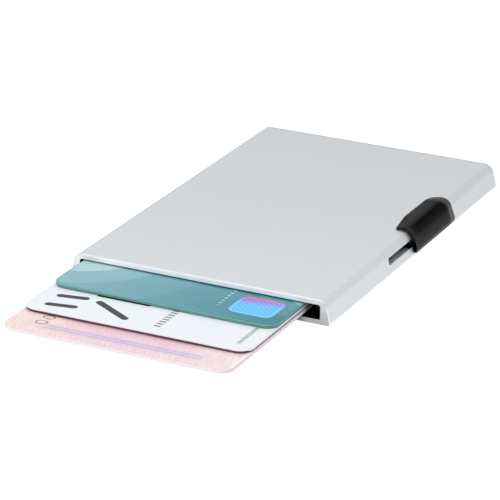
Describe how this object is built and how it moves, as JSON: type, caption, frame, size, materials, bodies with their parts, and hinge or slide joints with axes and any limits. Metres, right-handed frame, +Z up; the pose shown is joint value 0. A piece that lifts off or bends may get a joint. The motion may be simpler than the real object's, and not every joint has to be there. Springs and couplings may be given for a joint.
{
  "type": "slide-out card case",
  "caption": "Slim aluminium card case with an open mouth; a side slider pushes the cards inside out in steps, fanned for choosing.",
  "frame": {"origin": "centre of the sleeve's flat underside", "axes": "+X towards the side with the slider, -Y out of the mouth, +Z up through the smooth top face"},
  "size_m": [0.0645, 0.1352, 0.0069],
  "materials": {
    "anodised_aluminium": "fine matt anodised",
    "black_plastic": "satin",
    "dark_plastic": "fine moulded",
    "screw_steel": "bright",
    "spring_bronze": "rolled strip",
    "grey_felt": "short pile",
    "dark_silicone": "matt",
    "nickel": "nickel plated",
    "teal_card": "laminated print",
    "white_card": "laminated print",
    "rose_card": "laminated print"
  },
  "bodies": {
    "case": {"shell": "anodised_aluminium", "end_cap": "dark_plastic", "cap_screw_left": "screw_steel", "cap_screw_right": "screw_steel", "end_buffer_left": "dark_silicone", "end_buffer_right": "dark_silicone", "catch_magnet": "nickel", "left_guide": "dark_plastic", "right_guide": "dark_plastic", "felt_strip_left": "grey_felt", "felt_strip_right": "grey_felt", "retaining_spring": "spring_bronze"},
    "slider": {"slider_button": "black_plastic", "carriage": "dark_plastic", "button_screw_front": "screw_steel", "button_screw_rear": "screw_steel", "keeper_plate": "screw_steel", "stepped_ejector": "dark_plastic", "ejector_rivet_left": "screw_steel", "ejector_rivet_right": "screw_steel"},
    "top_card": {"card_top": "teal_card"},
    "middle_card": {"card_middle": "white_card"},
    "bottom_card": {"card_bottom": "rose_card"}
  },
  "joints": [
    {"name": "slider_slide", "type": "slide", "parent": "case", "child": "slider", "axis": [0, -1, 0], "range_m": [0, 0.0113]},
    {"name": "top_card_slide", "type": "slide", "parent": "slider", "child": "top_card", "axis": [0, -1, 0], "range_m": [-0.0223, 0.043]},
    {"name": "middle_card_slide", "type": "slide", "parent": "slider", "child": "middle_card", "axis": [0, -1, 0], "range_m": [-0.0316, 0.03]},
    {"name": "bottom_card_slide", "type": "slide", "parent": "slider", "child": "bottom_card", "axis": [0, -1, 0], "range_m": [-0.0377, 0.021]}
  ]
}
